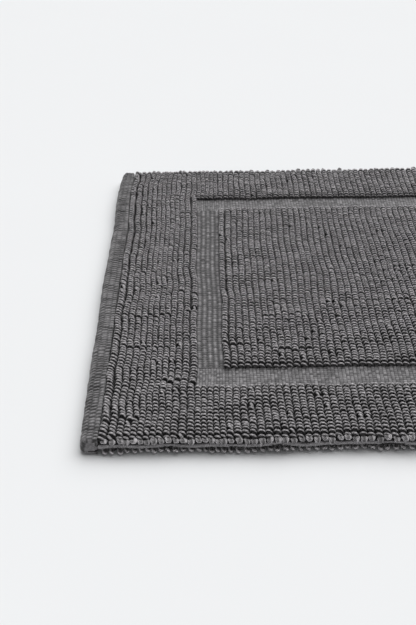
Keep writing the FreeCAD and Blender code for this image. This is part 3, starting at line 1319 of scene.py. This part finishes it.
@dataclass
class Hem:
    """One end of the cloth, turned under, with its sewing thread in the groove beside the pile."""

    plan: Plan
    lie: Lie
    maker: LoopMaker
    name: str
    side: int
    slit_height: float = 3.8 * MM
    slit_width: float = 1.0 * MM
    slit_reach: float = 12.0 * MM
    step: float = 0.825 * MM
    spacing: float = 0.95 * MM
    column_pitch: float = 4.75 * MM
    rib_pitch: float = 4.1 * MM
    pucker_depth: float = 0.9 * MM
    end_round: float = 1.5 * MM
    swell: float = 1.2 * MM
    swell_middle: float = 1.5 * MM
    swell_wander: float = 0.4 * MM
    overrun: float = 0.6 * MM
    corner: float = 5.0 * MM
    stitch_pitch: float = 4.6 * MM
    pieces: list[bpy.types.Object] = field(default_factory=list)

    def outline(self) -> tuple[np.ndarray, np.ndarray]:
        """The hem's section as distance from the outer side and height, once round, counter-clockwise.

        Returns:
            One row for each point, and which of them are on the outside rather than in the slit. It is one
            thick layer folded back on another, with a slit between them.
        """
        low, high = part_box(self.name)
        top, inner, floor = high.z + HAIR, high.x - low.x - HAIR, 0.15 * MM
        slit_low, slit_high = self.slit_height - self.slit_width / 2, self.slit_height + self.slit_width / 2

        def turn(cx: float, cz: float, rx: float, rz: float, start: float,
                 end: float) -> list[tuple[float, float]]:
            """Points along part of an ellipse."""
            angles = np.radians(np.linspace(start, end, 16))
            return [(cx + rx * math.cos(a), cz + rz * math.sin(a)) for a in angles]

        skin = [(inner, slit_high + 0.8 * MM)]
        skin += turn(inner - 1.5 * MM, top - 1.7 * MM, 1.5 * MM, 1.7 * MM, 0, 90)
        skin += turn(5.2 * MM, top - 6.2 * MM, 5.1 * MM, 6.2 * MM, 90, 180)
        skin += turn(3.3 * MM, floor + 3.3 * MM, 3.2 * MM, 3.3 * MM, 180, 270)
        skin += turn(inner - 1.4 * MM, floor + 1.4 * MM, 1.4 * MM, 1.4 * MM, 270, 360)
        skin += [(inner - 0.3 * MM, slit_low - 0.3 * MM)]
        line = np.array(skin)
        length = along_line(line)
        even = np.linspace(0, length[-1], round(length[-1] / self.spacing) + 1)
        outside = np.stack([np.interp(even, length, line[:, k]) for k in (0, 1)], axis=1)
        shares = (0.3, 0.62, 0.9)
        slit = np.array([*((inner - self.slit_reach * share, slit_low) for share in shares),
                         (inner - self.slit_reach, self.slit_height),
                         *((inner - self.slit_reach * share, slit_high) for share in reversed(shares))])
        return np.concatenate([outside, slit]), np.arange(len(outside) + len(slit)) < len(outside)

    def band(self, material: bpy.types.Material) -> bpy.types.Object:
        """Makes the turned band, with its columns, cross ribs, puckers and rounded corners.

        Args:
            material: its weave.

        Returns:
            The piece.
        """
        low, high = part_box(self.name)
        section, shown = self.outline()
        count = len(section)
        turns = np.roll(section, -1, axis=0) - np.roll(section, 1, axis=0)
        normal = np.stack([turns[:, 1], -turns[:, 0]], axis=1)
        normal = normal / np.linalg.norm(normal, axis=1, keepdims=True)
        length = along_line(section)
        front, back = low.y - self.overrun, high.y + self.overrun
        y = np.linspace(front, back, round((back - front) / self.step) + 1)
        near_ends = [front + 0.25 * MM, front + 0.6 * MM, back - 0.25 * MM, back - 0.6 * MM]
        y = np.sort(np.concatenate([y, near_ends]))
        grid_s, grid_y = np.meshgrid(length, y, indexing="ij")
        bulge, deep = self.surface(grid_s, grid_y)
        # The slit is painted fully dark, as shade.
        bulge, deep = bulge * shown[:, None], deep * shown[:, None] + ~shown[:, None]
        end = np.minimum(grid_y - front, back - grid_y)
        radius = self.end_round * (1 + 1.3 * np.clip((section[:, 1, None] - 6 * MM) / (6 * MM), 0, 1))
        rounding = np.clip(radius - end, 0, None)
        bulge += (np.sqrt(np.clip(radius**2 - rounding**2, 0, None)) - radius) * shown[:, None]
        # Less painted shade on the end rings.
        deep[:, [0, 1, -2, -1]] *= 0.2
        share = np.clip((grid_y - front) / (back - front), 0, 1)
        swell = self.swell + self.swell_middle * np.sin(np.pi * share) ** 0.7
        swell = swell + self.swell_wander * soft_noise(grid_y, grid_y * 0, 40 * MM, 76)
        out = section[:, 0, None] + normal[:, 0, None] * bulge
        out = out - swell * np.clip(1 - out / (12 * MM), 0, 1)
        z = section[:, 1, None] + normal[:, 1, None] * bulge
        corner = self.corner
        inset = corner - np.sqrt(np.clip(corner**2 - np.clip(corner - end, 0, corner) ** 2, 0, None))
        out = out + inset * np.clip(1 - out / (11 * MM), 0, 1)
        x = self.side * (self.plan.half_length - out)
        points = np.stack([x, grid_y, np.maximum(z, 0.05 * MM)], axis=-1)
        points = points.transpose(1, 0, 2).reshape(-1, 3)
        around, along = np.tile(length, len(y)), np.repeat(y, count)
        for ring in (slice(0, count), slice(-count, None)):
            around[ring], along[ring] = section[:, 0], section[:, 1]
        piece = woven(self.lie, f"{self.name}_band", points, tube_faces(len(y), count, self.side),
                      (around, along, deep.T.ravel()), material)
        for end_face in piece.data.polygons[-2:]:
            end_face.use_smooth = False
        return piece

    def surface(self, s: np.ndarray, y: np.ndarray) -> tuple[np.ndarray, np.ndarray]:
        """How far the band's surface stands out from its plain section, and how much shade is painted on it
        in its grooves and puckers.

        Args:
            s: distance round the section.
            y: place along the hem.

        Returns:
            The distance outwards in metres, and the painted shade from 0 to 1.
        """
        draw = np.random.default_rng(70 + self.side)
        place = s - 3.2 * MM + 0.35 * MM * soft_noise(y, y * 0, 26 * MM, 73)
        column = np.abs(np.sin(np.pi * place / self.column_pitch)) ** 0.45
        half = np.abs(np.sin(2 * np.pi * place / self.column_pitch)) ** 0.6
        number = np.floor(place / self.column_pitch)
        shifted = y + 1.0 * MM * soft_noise(s, y, 13 * MM, 74) + 0.16 * (s - 8 * MM)
        rib = np.abs(np.sin(np.pi * (shifted / self.rib_pitch + 0.5 * (number % 2)))) ** 0.9
        strength = np.clip(0.85 + 0.6 * soft_noise(s * 0.7, y, 5 * MM, 75), 0.30, 1.7)
        total = 0.60 * MM * (column - 1) + 0.20 * MM * (half - 1) + 1.0 * MM * (rib - 1) * strength
        # Painted shade in the grooves between the columns and between the ribs.
        deep = 1.0 * (1 - column) + 0.30 * (1 - half) + 2.8 * (1 - rib) * strength
        at = float(y.min())
        while at < y.max():
            at += draw.uniform(7, 21) * MM
            slope, sharp = draw.uniform(-0.55, 0.45), draw.uniform(0.8, 1.7) * MM
            strength = draw.uniform(0.35, 1.0)
            middle, reach = draw.uniform(6, 24) * MM, draw.uniform(5, 14) * MM
            pucker = np.exp(-(((y - at - slope * (s - middle)) / sharp) ** 2) - ((s - middle) / reach) ** 2)
            total = total - self.pucker_depth * strength * pucker
            # Painted shade in each pucker.
            deep = deep + 0.55 * strength * pucker
        return total + 0.22 * MM * soft_noise(s, y, 9 * MM, 71), np.clip(deep, 0, 1)

    def threads(self, material: bpy.types.Material) -> None:
        """Makes the sewing thread on each face as a line of stitches.

        Args:
            material: the thread's finish.
        """
        stitch = LoopShape(half_width=1.9 * MM, height=0.95 * MM, thickness=0.4 * MM, squareness=0.55,
                           slant=math.radians(90), slant_spread=math.radians(4), height_spread=0.06 * MM,
                           tilt_spread=0.02, odd_share=0.0, plies=1)
        for kind, face in (("needle", Face.TOP), ("bobbin", Face.REVERSE)):
            node = f"{self.name}_{kind}_thread"
            low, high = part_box(node)
            level = low.z if face is Face.TOP else high.z
            count = int((high.y - low.y) / self.stitch_pitch)
            y = np.linspace(low.y, high.y, count + 1)
            seats = Seats.on_grid(np.array([(low.x + high.x) / 2]), (y[1:] + y[:-1]) / 2, level)
            name = f"{self.name}_{kind}_stitches"
            piece = self.maker.make(name, seats, stitch, face, 80 + self.side, material)
            self.pieces.append(ride(piece, "sewing_thread", node))

    def build(self, cloth: bpy.types.Material, thread: bpy.types.Material) -> bpy.types.Object:
        """Makes the band and its threads.

        Args:
            cloth: the band's finish.
            thread: the sewing thread's finish.

        Returns:
            The band.
        """
        band = ride(self.band(cloth), "hem_cloth", self.name)
        self.threads(thread)
        return band


@dataclass
class Selvedge:
    """The narrow woven edge of the ground cloth: two wavy lips, between the edge loops of both faces."""

    plan: Plan
    lie: Lie
    name: str
    side: int
    step: float = 1.0 * MM
    wave: float = 0.40 * MM
    overrun: float = 1.5 * MM
    tuck: float = 2.3 * MM
    lip_sway: float = 0.55 * MM
    lip_swell: float = 0.17
    valley_width: float = 0.45 * MM

    def outline(self) -> np.ndarray:
        """The section as distance outwards from the ground cloth's edge and height above its middle."""
        return np.array([(-1.6, 1.5), (0.2, 1.75), (1.3, 1.55), (1.8, 0.95), (1.6, 0.30), (0.9, -0.15),
                         (0.45, -0.6), (0.75, -1.0), (0.6, -1.5), (-0.2, -1.85), (-1.6, -1.6)]) * MM

    def build(self, material: bpy.types.Material) -> bpy.types.Object:
        """Makes the edge as a wavy two-lipped band.

        Args:
            material: its weave.

        Returns:
            The piece.
        """
        low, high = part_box(self.name)
        reach = high.x + self.overrun
        x = np.linspace(-reach, reach, round(2 * reach / self.step) + 1)
        section = self.outline()
        count, rows = len(section), len(x)
        draw = np.random.default_rng(90 + self.side)
        knots = draw.uniform(-1, 1, (rows, 2))
        lumps = np.stack([np.convolve(knots[:, k], [0.25, 0.5, 0.25], "same") for k in (0, 1)], axis=1)
        upper = (section[:, 1] > 0)[None, :]
        lump = np.where(upper, lumps[:, :1], lumps[:, 1:])
        lip = np.clip(section[None, :, 0] / (1.5 * MM), 0, 1) * lump
        base = self.plan.half_depth - self.tuck + self.wave * soft_noise(x, x * 0, 14 * MM, 91)
        outward = base[:, None] + section[None, :, 0] + self.lip_sway * lip
        middle = (low.z + high.z) / 2 - HAIR + self.wave * soft_noise(x, x * 0 + 1, 17 * MM, 92)
        z = middle[:, None] + section[None, :, 1] * (1 + self.lip_swell * lump)
        points = np.stack([np.repeat(x[:, None], count, 1), self.side * outward, z], axis=-1).reshape(-1, 3)
        # Painted shade along the valley between the two lips.
        valley = np.exp(-((section[:, 1] - HAIR) / self.valley_width) ** 2)
        cloth_map = np.repeat(x, count), np.tile(along_line(section), rows), np.tile(valley, rows)
        faces = tube_faces(rows, count, self.side)
        piece = woven(self.lie, f"{self.name}_band", points, faces, cloth_map, material)
        return ride(piece, "selvedge", self.name)


# ---------------------------------------------------------------- camera, floor and light


@dataclass(frozen=True)
class Studio:
    """The pale floor, the soft light and the camera."""

    eye: tuple[float, float, float] = (-0.2963, -0.8574, 0.5287)
    pitch: float = math.radians(32.99)
    yaw: float = math.radians(-0.15)
    roll: float = math.radians(0.85)
    lens: float = 57.6
    floor_side: float = 30.0
    light_from: tuple[float, float, float] = (0.35, 0.62, 1.0)
    softness: float = math.radians(75)
    strength: float = 3.1
    surround: float = 0.28
    backdrop: float = 0.87

    def camera(self) -> None:
        """Makes the scene's camera from its tilt, turn and roll."""
        data = bpy.data.cameras.new("camera")
        data.lens, data.sensor_width = self.lens, 36.0
        data.clip_start, data.clip_end = 0.01, 50.0
        ahead, down = math.cos(self.pitch), -math.sin(self.pitch)
        forward = Vector((math.sin(self.yaw) * ahead, math.cos(self.yaw) * ahead, down))
        level = Vector((math.cos(self.yaw), -math.sin(self.yaw), 0))
        upright = level.cross(forward)
        right = level * math.cos(self.roll) - upright * math.sin(self.roll)
        up = upright * math.cos(self.roll) + level * math.sin(self.roll)
        camera = bpy.data.objects.new("camera", data)
        turn = Matrix((right, up, -forward)).transposed().to_4x4()
        camera.matrix_world = Matrix.Translation(self.eye) @ turn
        bpy.context.scene.collection.objects.link(camera)
        bpy.context.scene.camera = camera

    def floor(self) -> None:
        """Makes the pale floor that the mat lies on."""
        half = self.floor_side / 2
        corners = np.array([(-half, -half, 0), (half, -half, 0), (half, half, 0), (-half, half, 0)])
        make_piece("floor", corners, [(0, 1, 2, 3)], floor_finish())

    def light(self) -> None:
        """Makes the dim surround, which itself looks pale, and a wide soft light from behind."""
        world = bpy.data.worlds.new("surround")
        world.use_nodes = True
        world.node_tree.nodes["Background"].inputs["Color"].default_value = (1.0, 1.0, 1.0, 1)
        nodes, links = world.node_tree.nodes, world.node_tree.links
        rays, mix = nodes.new("ShaderNodeLightPath"), nodes.new("ShaderNodeMapRange")
        mix.inputs["To Min"].default_value = self.surround
        mix.inputs["To Max"].default_value = self.backdrop
        links.new(rays.outputs["Is Camera Ray"], mix.inputs["Value"])
        links.new(mix.outputs["Result"], nodes["Background"].inputs["Strength"])
        bpy.context.scene.world = world
        data = bpy.data.lights.new("soft_light", "SUN")
        data.energy, data.angle = self.strength, self.softness
        lamp = bpy.data.objects.new("soft_light", data)
        lamp.rotation_euler = (-Vector(self.light_from)).to_track_quat("-Z", "Y").to_euler()
        bpy.context.scene.collection.objects.link(lamp)
        bpy.context.scene.view_settings.view_transform = "Standard"

    def build(self) -> None:
        """Makes everything round the mat."""
        self.camera()
        self.floor()
        self.light()


def main() -> None:
    """Builds the mat and its studio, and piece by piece."""
    logging.basicConfig(level=logging.INFO, format="%(name)s %(message)s")
    Studio().build()
    plan = Plan.from_frame()
    lie = Lie(plan)
    maker = LoopMaker(lie)
    yarn = YarnFinish("loop_yarn").material()
    # The edge rows' yarn is a lighter copy of the loop yarn with less painted shade: painted light on the
    # loops that flop over the edges.
    edge_yarn_painted_light = YarnFinish("edge_yarn_painted_light", colour=(0.70, 0.674, 0.694, 1), shadow=(0.30, 0.289, 0.30, 1),
                           painted_foot_shade=0.45, painted_underside_shade=0.60, painted_flank_shade=0.55).material()
    thread = YarnFinish("hem_thread", colour=(0.19, 0.184, 0.19, 1), threads=2, turns=2.5,
                        thread_depth=0.1 * MM).material()
    # The ground cloth is painted nearly black: painted shade for the gaps between the loops, where it
    # shows.
    ground_cloth_in_painted_shade = WeaveFinish("ground_cloth_in_painted_shade", colour=(0.045, 0.043, 0.045, 1),
                               shadow=(0.02, 0.019, 0.02, 1), sheen=0.05).material()
    flat = WeaveFinish("flat_weave", colour=(0.42, 0.406, 0.42, 1), shadow=(0.26, 0.251, 0.26, 1),
                       thread=(1.05 * MM, 1.15 * MM), patchy=1.8).material()
    hem_cloth = WeaveFinish("hem_weave", colour=(0.275, 0.265, 0.275, 1), shadow=(0.17, 0.164, 0.17, 1),
                            thread=(1.1 * MM, 0.95 * MM), patchy=1.5).material()
    edge_cloth = WeaveFinish("selvedge_weave", colour=(0.43, 0.417, 0.43, 1),
                             thread=(1.2 * MM, 0.8 * MM)).material()

    weave = GroundWeave(plan, lie)
    ground = weave.build(ground_cloth_in_painted_shade, flat)
    pile = Pile(plan, maker)
    pile.build(yarn, edge_yarn_painted_light)
    hems = [Hem(plan, lie, maker, "left_hem", -1), Hem(plan, lie, maker, "right_hem", 1)]
    bands = [hem.build(hem_cloth, thread) for hem in hems]
    edges = [Selvedge(plan, lie, f"{edge}_selvedge", side).build(edge_cloth)
             for edge, side in (("front", -1), ("back", 1))]


if __name__ == "__main__":
    main()
